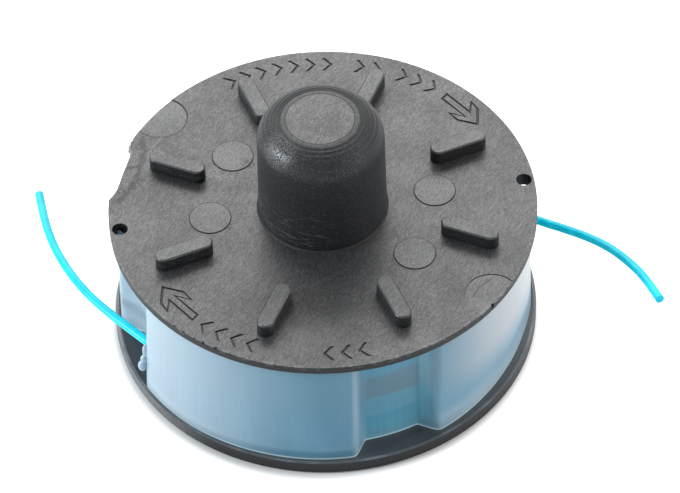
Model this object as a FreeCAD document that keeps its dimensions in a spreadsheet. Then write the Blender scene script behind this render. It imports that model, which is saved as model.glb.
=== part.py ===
import FreeCAD, Part
import math
import os
import Sketcher

# Trimmer line spool: a black moulded reel with a knob, two windings of cutting line,
# a milky band that keeps the windings in, and the two free ends of the line.
# Millimetres, +Z up. The origin is the centre of the flat base, on the surface it stands on.
# Azimuths are degrees about +Z from +X, and rise anticlockwise seen from above.

SIZES = (
    ("flange_radius", 38.0),
    ("flange_thick", 1.5),
    ("base_overhang", 0.2),
    ("base_thick", 2.3),
    ("base_bevel", 0.4),
    ("lip_width", 0.55),
    ("lip_height", 0.4),
    ("bore_radius", 15.6),
    ("mouth_bevel", 0.5),
    ("core_wall", 2.4),
    ("divider_clearance", 0.4),
    ("divider_thick", 1.5),
    ("lower_chamber", 10.3),
    ("upper_chamber", 12.9),
    ("knob_foot_radius", 11.4),
    ("knob_narrowing", 0.3),
    ("knob_height", 21.9),
    ("knob_shoulder", 5.0),
    ("knob_root", 0.3),
    ("knob_wall", 2.3),
    ("crown_thick", 2.6),
    ("seat_thick", 2.2),
    ("rib_count", 8),
    ("rib_width", 3.0),
    ("rib_length", 7.6),
    ("rib_height", 2.75),
    ("rib_inner", 23.3),
    ("rib_offset", 1.95),
    ("rib_angle", 21.6),
    ("rib_edge", 0.25),
    ("hole_radius", 1.4),
    ("hole_inset", 1.85),
    ("hole_angle", 7.0),
    ("pin_mark_radius", 3.65),
    ("pin_mark_circle", 20.1),
    ("pin_mark_height", 0.12),
    ("slide_mark_radius", 4.8),
    ("slide_mark_inset", 1.45),
    ("slide_mark_depth", 0.12),
    ("slide_mark_angle", 142.0),
    ("break_depth", 1.42),
    ("dog_count", 8),
    ("dog_width", 4.0),
    ("dog_depth", 1.4),
    ("dog_length", 7.0),
    ("dog_ledge", 0.4),
    ("band_inset", 1.05),
    ("band_wall", 0.7),
    ("band_gap", 0.3),
    ("recess_depth", 3.65),
    ("recess_round", 1.2),
    ("recess_mouth_angle", 13.0),
    ("recess_floor_angle", 8.3),
    ("plain_recess_angle", 108.8),
    ("exit_recess_angle", 18.4),
    ("step_mouth_angle", 11.4),
    ("step_floor_angle", 10.5),
    ("step_foot_round", 0.5),
    ("step_edge_round", 0.8),
    ("slot_inset", 1.8),
    ("slot_clearance", 0.25),
    ("nib_radius", 0.85),
    ("nib_inset", 0.45),
    ("nib_angle", 0.9),
    ("nib_bottom", 5.6),
    ("nib_height", 1.9),
    ("nib_tip_radius", 0.65),
    ("nib_tip_height", 2.1),
    ("line_diameter", 1.6),
    ("lower_wound_gap", 1.9),
    ("upper_wound_gap", 3.1),
    ("wound_valley", 0.45),
    ("crest_width", 0.6),
    ("lead_depth", 2.2),
    ("lead_run", 4.6),
    ("lead_gap", 0.1),
    ("exit_height", 11.3),
    ("exit_inset", 1.33),
    ("exit_angle", 3.0),
)

# Radii and heights above the base that follow from the sizes.
PLACES = (
    ("base_radius", "sizes.flange_radius + sizes.base_overhang"),
    ("lip_radius", "base_radius - sizes.lip_width"),
    ("core_radius", "sizes.bore_radius + sizes.core_wall"),
    ("deep_radius", "sizes.bore_radius - sizes.dog_ledge"),
    ("dog_tip_radius", "deep_radius - sizes.dog_depth"),
    ("dog_root_radius", "sizes.bore_radius + sizes.core_wall / 2"),
    ("knob_tip_radius", "sizes.knob_foot_radius - sizes.knob_narrowing"),
    ("cavity_radius", "knob_tip_radius - sizes.knob_wall"),
    ("band_radius", "sizes.flange_radius - sizes.band_inset"),
    ("recess_radius", "band_radius - sizes.recess_depth"),
    ("divider_radius", "recess_radius - sizes.band_wall - sizes.divider_clearance"),
    ("lower_wound_radius", "divider_radius - sizes.lower_wound_gap"),
    ("upper_wound_radius", "divider_radius - sizes.upper_wound_gap"),
    ("hole_circle", "sizes.flange_radius - sizes.hole_inset"),
    ("slide_mark_circle", "sizes.flange_radius - sizes.slide_mark_inset"),
    ("lip_top", "sizes.base_thick + sizes.lip_height"),
    ("divider_low", "sizes.base_thick + sizes.lower_chamber"),
    ("divider_top", "divider_low + sizes.divider_thick"),
    ("flange_low", "divider_top + sizes.upper_chamber"),
    ("flange_top", "flange_low + sizes.flange_thick"),
    ("rib_top", "flange_top + sizes.rib_height"),
    ("knob_top", "flange_top + sizes.knob_height"),
    ("crown_low", "knob_top - sizes.crown_thick"),
    ("seat_low", "flange_top - sizes.seat_thick"),
    ("dog_low", "seat_low - sizes.dog_length"),
    ("through_flange", "sizes.flange_thick + sizes.band_gap / 2"),
    ("band_height", "flange_low - sizes.base_thick - sizes.band_gap"),
    ("rib_outer", "sizes.rib_inner + sizes.rib_length"),
    ("rib_low_side", "sizes.rib_offset - sizes.rib_width / 2"),
    ("rib_high_side", "sizes.rib_offset + sizes.rib_width / 2"),
    ("dog_side", "sizes.dog_width / 2"),
    ("hole_opposite", "sizes.hole_angle + 180"),
    ("slide_mark_opposite", "sizes.slide_mark_angle + 180"),
    ("past_band", "band_radius + sizes.recess_depth"),
    ("slot_half", "sizes.line_diameter / 2 + sizes.slot_clearance"),
    ("slot_inner", "band_radius - sizes.slot_inset - slot_half"),
    ("slot_outer", "band_radius - sizes.slot_inset + slot_half"),
    ("slot_low", "sizes.exit_height - slot_half"),
    ("slot_tall", "2 * slot_half"),
    ("slot_azimuth", "sizes.exit_recess_angle + sizes.step_floor_angle"),
    ("nib_circle", "band_radius - sizes.nib_inset"),
    ("nib_azimuth", "sizes.exit_recess_angle + sizes.step_mouth_angle - sizes.nib_angle"),
    ("nib_tip_low", "sizes.nib_bottom + sizes.nib_height"),
    ("exit_circle", "band_radius - sizes.exit_inset"),
    ("exit_azimuth", "sizes.exit_recess_angle + sizes.step_mouth_angle - sizes.exit_angle"),
    ("lower_lead_height", "divider_low - sizes.line_diameter / 2 - sizes.lead_gap"),
    ("upper_lead_height", "divider_top + sizes.line_diameter / 2 + sizes.lead_gap"),
)

# The break in the top flange's rim: azimuth, and the share of its depth torn in from the rim.
BREAK_EDGE = (
    (152.6, 0.0), (154.6, 0.21), (157.2, 0.6), (159.0, 0.92), (162.0, 1.0),
    (166.0, 0.99), (169.0, 0.95), (172.2, 0.81), (174.4, 0.42), (176.0, 0.0),
)

# The free ends of the line, from the slot in the band to the cut tip, as steps from the slot.
LEFT_ROUTE = (
    (0.0, 0.0, 0.0), (-3.2, 3.3, 0.0), (-7.6, 7.85, -0.1), (-11.7, 13.05, -0.2),
    (-15.0, 18.75, -0.3), (-17.5, 24.75, -0.5), (-19.2, 31.05, -0.6), (-20.2, 37.35, -0.7),
)
RIGHT_ROUTE = (
    (0.0, 0.0, 0.0), (3.52, -3.63, 0.0), (7.5, -7.05, 1.0), (11.7, -10.15, 2.2),
    (15.6, -13.45, 3.5), (19.2, -17.25, 4.8), (22.4, -22.05, 6.1), (25.2, -27.75, 7.4),
    (26.9, -33.45, 8.7),
)

# How a wound turn leaves its winding for the slot: degrees still to go, share of the way
# out to the slot's radius, and share of the way down to the slot's height.
LEAD_STEPS = (
    (66.0, 0.0, 0.0), (55.0, 0.1, 0.0), (44.0, 0.36, 0.0), (33.0, 0.66, 0.0),
    (22.0, 0.88, 0.0), (11.0, 0.97, 0.5),
)

ORIGIN = -1     # the sketch's own origin, as a constraint names it
START = 1
END = 2
CENTRE = 3
TOUCH = 0.01    # how near an edge lies to the place it is looked for

document = FreeCAD.newDocument("trimmer_line_spool")
sheets = {name: document.addObject("Spreadsheet::Sheet", name) for name in ("sizes", "places")}


def fill_sheet(sheet, rows, prefix):
    for row, (alias, content) in enumerate(rows, start=1):
        sheet.set("A%d" % row, alias)
        sheet.set("B%d" % row, prefix + str(content))
        sheet.setAlias("B%d" % row, alias)
    document.recompute()


def value(name):
    """The number that a name such as sizes.rib_width holds now, with a minus sign kept."""
    sign = -1.0 if name.startswith("-") else 1.0
    sheet, alias = name.lstrip("-").split(".")
    return sign * float(getattr(sheets[sheet], alias))


def polar(radius, azimuth):
    angle = math.radians(azimuth)
    return radius * math.cos(angle), radius * math.sin(angle)


def corner(across, up):
    """A corner at two named distances: its place now, then the two names that hold it."""
    return tuple(0.0 if name == "0" else value(name) for name in (across, up)) + (across, up)


def polar_corner(radius, azimuth):
    """A corner at a named radius, and at an azimuth, a name or a number."""
    degrees = float(azimuth) if is_number(azimuth) else value(azimuth)
    x, y = polar(value(radius), degrees)
    place = "%s * %s(%s)"
    return x, y, place % (radius, "cos", azimuth), place % (radius, "sin", azimuth)


def torn_corner(azimuth, share):
    """A corner of the rim's break, torn in by a share of the break's depth."""
    x, y = polar(value("sizes.flange_radius") - value("sizes.break_depth") * share, azimuth)
    place = "(sizes.flange_radius - sizes.break_depth * %s) * %s(%s)"
    return x, y, place % (share, "cos", azimuth), place % (share, "sin", azimuth)


def is_number(text):
    return text.lstrip("-")[0].isdigit()


def add_body(name):
    body = document.addObject("PartDesign::Body", name)
    body.Label = name
    return body


def add_sketch(body, name, role, height=None, turn=None):
    """A sketch on one of the body's own origin planes, lifted and turned by named sizes."""
    plane = [each for each in body.Origin.OriginFeatures if each.Role == role][0]
    sketch = body.newObject("Sketcher::SketchObject", name)
    sketch.AttachmentSupport = [(plane, "")]
    sketch.MapMode = "FlatFace"
    if height:
        sketch.setExpression(".AttachmentOffset.Base.z", height)
    if turn:
        sketch.setExpression(".AttachmentOffset.Rotation.Angle", turn)
    return sketch


def bind(sketch, constraint, formula):
    index = sketch.addConstraint(constraint)
    sketch.setExpression("Constraints[%d]" % index, formula)


def pin_point(sketch, item, point, across, up):
    """Hold one point of the sketch at two distances from its origin."""
    rough = sketch.getPoint(item, point)
    for kind, place, formula in (("DistanceX", rough.x, across), ("DistanceY", rough.y, up)):
        bind(sketch, Sketcher.Constraint(kind, ORIGIN, START, item, point, place), formula)


def hold_radius(sketch, item, name):
    bind(sketch, Sketcher.Constraint("Radius", item, value(name)), name)


def join(sketch, item, point, next_item, next_point):
    sketch.addConstraint(Sketcher.Constraint("Coincident", item, point, next_item, next_point))


def outline(sketch, corners, arc_after=None, arc_radius=None):
    """A closed outline of straight edges, or with one arc about the origin after a corner."""
    vertices = [FreeCAD.Vector(x, y, 0) for x, y, across, up in corners]
    items = []
    for number, begin in enumerate(vertices):
        finish = vertices[(number + 1) % len(vertices)]
        edge = Part.LineSegment(begin, finish)
        if number == arc_after:
            middle = (begin + finish).normalize() * begin.Length
            edge = Part.Arc(begin, middle, finish)
        items.append(sketch.addGeometry(edge))
    for number, item in enumerate(items):
        join(sketch, item, END, items[(number + 1) % len(items)], START)
        pin_point(sketch, item, START, corners[number][2], corners[number][3])
    if arc_radius:
        hold_radius(sketch, items[arc_after], arc_radius)


def pad(body, name, sketch, length, downward=False):
    feature = body.newObject("PartDesign::Pad", name)
    feature.Profile = sketch
    feature.setExpression("Length", length)
    feature.Reversed = downward
    return feature


def pocket(body, name, sketch, length, upward=False):
    feature = body.newObject("PartDesign::Pocket", name)
    feature.Profile = sketch
    feature.setExpression("Length", length)
    feature.Reversed = upward
    return feature


def revolve(body, name, sketch):
    feature = body.newObject("PartDesign::Revolution", name)
    feature.Profile = sketch
    feature.ReferenceAxis = (sketch, ["V_Axis"])
    feature.Angle = 360.0
    return feature


def ring_pattern(body, name, features, count):
    axis = [each for each in body.Origin.OriginFeatures if each.Role == "Z_Axis"][0]
    document.recompute()
    pattern = body.newObject("PartDesign::PolarPattern", name)
    pattern.Originals = features
    pattern.Axis = (axis, [""])
    pattern.Angle = 360.0
    pattern.setExpression("Occurrences", count)
    body.Tip = pattern
    document.recompute()
    return pattern


def dress(body, kind, name, base, edges, amount):
    feature = body.newObject("PartDesign::" + kind, name)
    feature.Base = (base, edges)
    feature.setExpression("Size" if kind == "Chamfer" else "Radius", amount)
    document.recompute()
    return feature


def named_edges(shape, wanted):
    return ["Edge%d" % number for number, edge in enumerate(shape.Edges, start=1) if wanted(edge)]


def ring_edge(radius, height):
    """A test for the full circle of this radius about the axis, at this height."""
    def wanted(edge):
        if not isinstance(edge.Curve, Part.Circle):
            return False
        centre = edge.Curve.Center
        on_axis = math.hypot(centre.x, centre.y) < TOUCH
        return on_axis and abs(edge.Curve.Radius - radius) < TOUCH and abs(centre.z - height) < TOUCH
    return wanted


def upright_edge(edge, radius):
    """Whether this is an upright edge, this far from the axis."""
    ends = [vertex.Point for vertex in edge.Vertexes]
    if len(ends) != 2 or math.hypot(ends[0].x - ends[1].x, ends[0].y - ends[1].y) > TOUCH:
        return False
    return abs(math.hypot(ends[0].x, ends[0].y) - radius) < TOUCH


def degrees_past(edge, azimuth):
    """How far past this azimuth, or past its opposite, an upright edge stands."""
    point = edge.Vertexes[0].Point
    return (math.degrees(math.atan2(point.y, point.x)) - azimuth + 90.0) % 180.0 - 90.0


def turned_reel(body):
    """Knob, flanges, divider and hollow core, turned as one section."""
    sketch = add_sketch(body, "reel_section", "XZ_Plane")
    walk = (
        ("sizes.bore_radius", "0"),
        ("places.base_radius", "0"),
        ("places.base_radius", "places.lip_top"),
        ("places.lip_radius", "places.lip_top"),
        ("places.lip_radius", "sizes.base_thick"),
        ("places.core_radius", "sizes.base_thick"),
        ("places.core_radius", "places.divider_low"),
        ("places.divider_radius", "places.divider_low"),
        ("places.divider_radius", "places.divider_top"),
        ("places.core_radius", "places.divider_top"),
        ("places.core_radius", "places.flange_low"),
        ("sizes.flange_radius", "places.flange_low"),
        ("sizes.flange_radius", "places.flange_top"),
        ("sizes.knob_foot_radius", "places.flange_top"),
        ("places.knob_tip_radius", "places.knob_top"),
        ("0", "places.knob_top"),
        ("0", "places.crown_low"),
        ("places.cavity_radius", "places.crown_low"),
        ("places.cavity_radius", "places.seat_low"),
        ("places.deep_radius", "places.seat_low"),
        ("places.deep_radius", "places.dog_low"),
        ("sizes.bore_radius", "places.dog_low"),
    )
    outline(sketch, [corner(across, up) for across, up in walk])
    form = revolve(body, "turned_form", sketch)
    document.recompute()
    return form


def finish_turned(body, form):
    """The knob's round shoulder and sloped root, the base's lower edge and the bore's mouth."""
    foot, top = value("sizes.knob_foot_radius"), value("places.flange_top")
    spots = (
        ("Fillet", "knob_dome", value("places.knob_tip_radius"), value("places.knob_top"),
         "sizes.knob_shoulder"),
        ("Chamfer", "knob_foot", foot, top, "sizes.knob_root"),
        ("Chamfer", "base_edge", value("places.base_radius"), 0.0, "sizes.base_bevel"),
        ("Chamfer", "bore_mouth", value("sizes.bore_radius"), 0.0, "sizes.mouth_bevel"),
    )
    for kind, name, radius, height, amount in spots:
        edges = named_edges(form.Shape, ring_edge(radius, height))
        form = dress(body, kind, name, form, edges, amount)


def add_ribs(body):
    """The long rounded ribs that stand round the knob."""
    sketch = add_sketch(body, "rib_outline", "XY_Plane", "places.flange_top", "sizes.rib_angle")
    inner, outer = value("sizes.rib_inner"), value("places.rib_outer")
    low, high = value("places.rib_low_side"), value("places.rib_high_side")
    middle, half = (low + high) / 2, (high - low) / 2
    vertices = [FreeCAD.Vector(x, y, 0) for x, y in (
        (inner, low), (outer, low), (outer, high), (inner, high))]
    tips = [FreeCAD.Vector(outer + half, middle, 0), FreeCAD.Vector(inner - half, middle, 0)]
    low_side = sketch.addGeometry(Part.LineSegment(vertices[0], vertices[1]))
    outer_end = sketch.addGeometry(Part.Arc(vertices[1], tips[0], vertices[2]))
    high_side = sketch.addGeometry(Part.LineSegment(vertices[2], vertices[3]))
    inner_end = sketch.addGeometry(Part.Arc(vertices[3], tips[1], vertices[0]))
    round_way = (low_side, outer_end, high_side, inner_end)
    for item, next_item in zip(round_way, round_way[1:] + round_way[:1]):
        join(sketch, item, END, next_item, START)
    pin_point(sketch, low_side, START, "sizes.rib_inner", "places.rib_low_side")
    pin_point(sketch, low_side, END, "places.rib_outer", "places.rib_low_side")
    pin_point(sketch, high_side, START, "places.rib_outer", "places.rib_high_side")
    pin_point(sketch, high_side, END, "sizes.rib_inner", "places.rib_high_side")
    for item, across in ((outer_end, "places.rib_outer"), (inner_end, "sizes.rib_inner")):
        constraint = Sketcher.Constraint("DistanceX", ORIGIN, START, item, CENTRE, value(across))
        bind(sketch, constraint, across)
    rib = pad(body, "rib", sketch, "sizes.rib_height")
    ribs = ring_pattern(body, "ribs", [rib], "sizes.rib_count")
    top = value("places.rib_top")
    tops = named_edges(ribs.Shape, lambda edge: max(
        abs(vertex.Z - top) for vertex in edge.Vertexes) < TOUCH)
    dress(body, "Chamfer", "rib_edges", ribs, tops, "sizes.rib_edge")


def circles(sketch, azimuths, radius, circle):
    """Equal circles, each centre at a named azimuth on the same named circle."""
    for azimuth in azimuths:
        x, y, across, up = polar_corner(circle, azimuth)
        item = sketch.addGeometry(Part.Circle(
            FreeCAD.Vector(x, y, 0), FreeCAD.Vector(0, 0, 1), value(radius)))
        hold_radius(sketch, item, radius)
        pin_point(sketch, item, CENTRE, across, up)


def add_marks(body):
    """Line holes, and the moulding's marks: four raised pins' ends, two sunk slides' ends."""
    holes = ("sizes.hole_angle", "places.hole_opposite")
    slides = ("sizes.slide_mark_angle", "places.slide_mark_opposite")
    sketch = add_sketch(body, "pin_mark_outline", "XY_Plane", "places.flange_top")
    circles(sketch, holes + slides, "sizes.pin_mark_radius", "sizes.pin_mark_circle")
    pad(body, "pin_marks", sketch, "sizes.pin_mark_height")
    sketch = add_sketch(body, "slide_mark_outline", "XY_Plane", "places.flange_top")
    circles(sketch, slides, "sizes.slide_mark_radius", "places.slide_mark_circle")
    pocket(body, "slide_marks", sketch, "sizes.slide_mark_depth")
    sketch = add_sketch(body, "line_hole_outline", "XY_Plane", "places.flange_top")
    circles(sketch, holes, "sizes.hole_radius", "places.hole_circle")
    pocket(body, "line_holes", sketch, "places.through_flange")


def break_rim(body):
    """The piece that is broken out of the top flange's rim."""
    sketch = add_sketch(body, "break_outline", "XY_Plane", "places.flange_top")
    first, last = BREAK_EDGE[0][0], BREAK_EDGE[-1][0]
    corners = [torn_corner(azimuth, share) for azimuth, share in BREAK_EDGE]
    corners += [polar_corner("places.past_band", str(azimuth)) for azimuth in (last, first)]
    outline(sketch, corners)
    pocket(body, "rim_break", sketch, "places.through_flange")


def add_dogs(body):
    """The dogs deep in the core's bore, hanging from the spring's seat."""
    sketch = add_sketch(body, "dog_outline", "XY_Plane", "places.seat_low")
    walk = (
        ("places.dog_tip_radius", "-places.dog_side"),
        ("places.dog_root_radius", "-places.dog_side"),
        ("places.dog_root_radius", "places.dog_side"),
        ("places.dog_tip_radius", "places.dog_side"),
    )
    outline(sketch, [corner(across, up) for across, up in walk])
    dog = pad(body, "dog", sketch, "sizes.dog_length", downward=True)
    ring_pattern(body, "dogs", [dog], "sizes.dog_count")


def make_reel():
    body = add_body("reel")
    finish_turned(body, turned_reel(body))
    add_ribs(body)
    add_marks(body)
    break_rim(body)
    add_dogs(body)
    return body


def recess(body, name, turn, far_mouth, far_floor):
    """Cut one recess in the band's outline, and the one opposite it."""
    sketch = add_sketch(body, name + "_outline", "XY_Plane", "sizes.base_thick", turn)
    near_mouth, near_floor = "-sizes.recess_mouth_angle", "-sizes.recess_floor_angle"
    corners = [
        polar_corner("places.band_radius", near_mouth),
        polar_corner("places.recess_radius", near_floor),
        polar_corner("places.recess_radius", far_floor),
        polar_corner("places.band_radius", far_mouth),
        polar_corner("places.past_band", far_mouth),
        polar_corner("places.past_band", near_mouth),
    ]
    outline(sketch, corners, arc_after=1, arc_radius="places.recess_radius")
    cut = pocket(body, name, sketch, "places.band_height", upward=True)
    return ring_pattern(body, name + "_pair", [cut], "2")


def round_band(body, form):
    """Round the recesses' upright edges: the gentle corners, then the two steps' own."""
    turn = value("sizes.exit_recess_angle")

    def corners(radius_name, step_angle, at_step):
        def wanted(edge):
            if not upright_edge(edge, value(radius_name)):
                return False
            return (abs(degrees_past(edge, turn) - value(step_angle)) < 1.0) == at_step
        return wanted

    spots = (
        ("recess_feet", "places.recess_radius", "sizes.step_floor_angle", False,
         "sizes.recess_round"),
        ("recess_mouths", "places.band_radius", "sizes.step_mouth_angle", False,
         "sizes.recess_round"),
        ("step_feet", "places.recess_radius", "sizes.step_floor_angle", True,
         "sizes.step_foot_round"),
        ("step_edges", "places.band_radius", "sizes.step_mouth_angle", True,
         "sizes.step_edge_round"),
    )
    for name, radius_name, step_angle, at_step, amount in spots:
        edges = named_edges(form.Shape, corners(radius_name, step_angle, at_step))
        form = dress(body, "Fillet", name, form, edges, amount)
    return form


def hollow_band(body, form):
    """Leave a thin wall that follows the outline, open above and below."""
    flats = []
    for number, face in enumerate(form.Shape.Faces, start=1):
        if isinstance(face.Surface, Part.Plane) and abs(face.normalAt(0, 0).z) > 0.9:
            flats.append("Face%d" % number)
    wall = body.newObject("PartDesign::Thickness", "thin_wall")
    wall.Base = (form, flats)
    wall.setExpression("Value", "sizes.band_wall")
    wall.Reversed = True
    wall.Join = "Arc"
    document.recompute()


def cut_slots(body):
    """The slot in each step, which lets the line out."""
    sketch = add_sketch(body, "slot_outline", "XY_Plane", "places.slot_low", "places.slot_azimuth")
    walk = (
        ("places.slot_inner", "-sizes.line_diameter"),
        ("places.slot_outer", "-sizes.line_diameter"),
        ("places.slot_outer", "sizes.line_diameter"),
        ("places.slot_inner", "sizes.line_diameter"),
    )
    outline(sketch, [corner(across, up) for across, up in walk])
    slot = pocket(body, "slot", sketch, "places.slot_tall", upward=True)
    ring_pattern(body, "slots", [slot], "2")


def add_nibs(body):
    """The small two-part nib that stands at each step's edge, under the slot."""
    nibs = []
    for name, radius, low, tall in (
            ("nib", "sizes.nib_radius", "sizes.nib_bottom", "sizes.nib_height"),
            ("nib_tip", "sizes.nib_tip_radius", "places.nib_tip_low", "sizes.nib_tip_height")):
        sketch = add_sketch(body, name + "_outline", "XY_Plane", low)
        circles(sketch, ["places.nib_azimuth"], radius, "places.nib_circle")
        nibs.append(pad(body, name, sketch, tall))
    ring_pattern(body, "nibs", nibs, "2")


def make_band():
    body = add_body("line_band")
    sketch = add_sketch(body, "band_outline", "XY_Plane", "sizes.base_thick")
    circle = Part.Circle(
        FreeCAD.Vector(0, 0, 0), FreeCAD.Vector(0, 0, 1), value("places.band_radius"))
    item = sketch.addGeometry(circle)
    join(sketch, item, CENTRE, ORIGIN, START)
    hold_radius(sketch, item, "places.band_radius")
    pad(body, "band_blank", sketch, "places.band_height")
    recess(body, "plain_recess", "sizes.plain_recess_angle",
           "sizes.recess_mouth_angle", "sizes.recess_floor_angle")
    form = recess(body, "exit_recess", "sizes.exit_recess_angle",
                  "sizes.step_mouth_angle", "sizes.step_floor_angle")
    hollow_band(body, round_band(body, form))
    cut_slots(body)
    add_nibs(body)
    return body


def wound_turns(name, low, tall, outer):
    """A full winding: flat where it meets the reel, with one bevelled crest for each turn."""
    body = add_body(name)
    sketch = add_sketch(body, name + "_section", "XZ_Plane")
    turns = int(value(tall) / value("sizes.line_diameter"))
    valley_radius = value(outer) - value("sizes.wound_valley")
    valley = "%s - sizes.wound_valley" % outer
    core, core_name = value("places.core_radius"), "places.core_radius"

    def height(share):
        return value(low) + value(tall) * share / turns, "%s + %s * %s / %d" % (
            low, tall, share, turns)

    bottom, bottom_name = height(0)
    top, top_name = height(turns)
    corners = [(core, top, core_name, top_name), (core, bottom, core_name, bottom_name),
               (valley_radius, bottom, valley, bottom_name)]
    half = value("sizes.crest_width") / 2
    for number in range(turns):
        middle, middle_name = height(number + 0.5)
        corners.append((value(outer), middle - half, outer, middle_name + " - sizes.crest_width / 2"))
        corners.append((value(outer), middle + half, outer, middle_name + " + sizes.crest_width / 2"))
        next_valley, next_name = height(number + 1)
        corners.append((valley_radius, next_valley, valley, next_name))
    outline(sketch, corners)
    revolve(body, name + "_form", sketch)
    document.recompute()
    return body


def rounded_path(points):
    """Straight runs joined by tangent arcs, each as large as its two runs allow."""
    share = 0.45
    edges, radii = [], []
    begin = points[0]
    for before, turn_point, after in zip(points, points[1:], points[2:]):
        arriving, leaving = turn_point - before, after - turn_point
        shorter = min(arriving.Length, leaving.Length)
        turn = arriving.getAngle(leaving)
        arriving.normalize()
        leaving.normalize()
        radii.append(share * shorter / math.tan(turn / 2))
        first = turn_point - arriving * share * shorter
        last = turn_point + leaving * share * shorter
        inward = (leaving - arriving).normalize()
        middle = turn_point + inward * radii[-1] * (1 / math.cos(turn / 2) - 1)
        edges.append(Part.LineSegment(begin, first).toShape())
        edges.append(Part.Arc(first, middle, last).toShape())
        begin = last
    edges.append(Part.LineSegment(begin, points[-1]).toShape())
    return Part.Wire(edges), radii


def line_tube(name, points):
    """A tube of the line's own diameter along the rounded path."""
    path, radii = rounded_path(points)
    radius = value("sizes.line_diameter") / 2
    ring = Part.Wire(Part.makeCircle(radius, points[0], points[1] - points[0]))
    solid = path.makePipeShell([ring], True, False)
    share = solid.Volume / (math.pi * radius ** 2 * path.Length)
    print("%s: length %.1f mm, radii %s, volume %.4f of section times length" % (
        name, path.Length, " ".join("%.0f" % each for each in radii), share))
    feature = document.addObject("Part::Feature", name)
    feature.Label = name
    feature.Shape = solid
    return feature


def exit_route(steps, opposite):
    """The points of a free end, from the place where the line leaves the band."""
    x, y = polar(value("places.exit_circle"), value("places.exit_azimuth") + (180 if opposite else 0))
    leave = FreeCAD.Vector(x, y, value("sizes.exit_height"))
    return [leave + FreeCAD.Vector(*step) for step in steps]


def lead_points(wound, wound_height, route):
    """From inside the outermost turn, out and round to the slot, in line with the free end."""
    way = (route[1] - route[0]).normalize()
    last = route[0] - way * value("sizes.lead_run")
    last_radius, last_azimuth = math.hypot(last.x, last.y), math.degrees(math.atan2(last.y, last.x))
    start_radius = value(wound) - value("sizes.lead_depth")
    start_height = value(wound_height)
    points = []
    for degrees, out, down in LEAD_STEPS:
        x, y = polar(start_radius + (last_radius - start_radius) * out, last_azimuth + degrees)
        points.append(FreeCAD.Vector(x, y, start_height + (last.z - start_height) * down))
    return points + [last, route[0]]


def make_winding(name, low, tall, route):
    """One winding, with the length of line that leads from it through the band's slot."""
    wound = "places.%s_wound_radius" % name
    lead = lead_points(wound, "places.%s_lead_height" % name, route)
    winding = document.addObject("Part::Fuse", name + "_winding")
    winding.Label = name + "_winding"
    winding.Base = wound_turns(name + "_turns", low, tall, wound)
    winding.Tool = line_tube(name + "_lead", lead)
    document.recompute()
    return winding


def make_parts():
    left, right = exit_route(LEFT_ROUTE, True), exit_route(RIGHT_ROUTE, False)
    return [
        make_reel(),
        make_band(),
        make_winding("lower", "sizes.base_thick", "sizes.lower_chamber", left),
        make_winding("upper", "places.divider_top", "sizes.upper_chamber", right),
        line_tube("line_end_left", left),
        line_tube("line_end_right", right),
    ]


def check(parts):
    document.recompute()
    for item in document.Objects:
        for word in ("Invalid", "Error"):
            if word in item.State:
                raise RuntimeError("%s is %s" % (item.Name, item.State))
    for part in parts:
        if part.Shape.isNull() or not part.Shape.isValid() or len(part.Shape.Solids) != 1:
            raise RuntimeError("%s has no single valid solid" % part.Label)


def export(parts):
    os.makedirs("parts", exist_ok=True)
    for part in parts:
        part.Shape.exportStep("parts/%s.step" % part.Label)
        box = part.Shape.BoundBox
        print("%s: %.1f mm3, z %.2f to %.2f" % (part.Label, part.Shape.Volume, box.ZMin, box.ZMax))


fill_sheet(sheets["sizes"], SIZES, "")
fill_sheet(sheets["places"], PLACES, "=")
all_parts = make_parts()
check(all_parts)
export(all_parts)
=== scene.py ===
import math

import bmesh
import bpy
import numpy as np
from mathutils import Matrix, Vector


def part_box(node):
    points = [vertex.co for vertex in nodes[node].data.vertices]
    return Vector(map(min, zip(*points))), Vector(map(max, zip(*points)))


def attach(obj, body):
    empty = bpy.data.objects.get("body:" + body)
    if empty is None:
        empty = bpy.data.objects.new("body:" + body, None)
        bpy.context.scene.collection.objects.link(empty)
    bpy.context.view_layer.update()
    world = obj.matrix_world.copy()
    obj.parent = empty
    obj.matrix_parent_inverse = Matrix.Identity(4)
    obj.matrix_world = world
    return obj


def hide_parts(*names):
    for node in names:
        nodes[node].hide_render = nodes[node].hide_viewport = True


# Trimmer line spool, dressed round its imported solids.
# Metres, +Z up, origin at the centre of the base. Azimuths are degrees about +Z from +X.

mm = 0.001
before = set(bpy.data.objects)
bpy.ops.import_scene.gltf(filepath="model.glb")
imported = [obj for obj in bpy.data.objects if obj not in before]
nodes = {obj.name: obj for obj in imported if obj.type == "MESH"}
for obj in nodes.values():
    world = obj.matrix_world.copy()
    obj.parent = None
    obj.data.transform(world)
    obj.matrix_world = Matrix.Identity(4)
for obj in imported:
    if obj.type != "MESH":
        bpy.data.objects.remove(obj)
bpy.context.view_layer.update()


# Meshes from arrays

def addPiece(name, data, slotName, *replaced):
    piece = bpy.data.objects.new(name, data)
    bpy.context.scene.collection.objects.link(piece)
    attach(piece, "root")
    if replaced:
        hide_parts(*replaced)
    return piece


def meshOf(name, shells):
    # One mesh of several shells, each a pair of vertices (n, 3) and faces.
    vertices, faces, first = [], [], 0
    for points, sides in shells:
        vertices.append(points)
        faces += [[first + corner for corner in side] for side in sides]
        first += len(points)
    mesh = bpy.data.meshes.new(name)
    mesh.from_pydata(np.concatenate(vertices).tolist(), [], faces)
    mesh.validate()
    smoothFaces(mesh, 40.0)
    return mesh


def smoothFaces(mesh, angle):
    mesh.shade_smooth()
    mesh.set_sharp_from_angle(angle=math.radians(angle))
    mesh.update()


def joinInto(mesh, other):
    # Adds the other mesh's faces to this one.
    both = bmesh.new()
    both.from_mesh(mesh)
    both.from_mesh(other)
    both.to_mesh(mesh)
    both.free()


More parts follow.
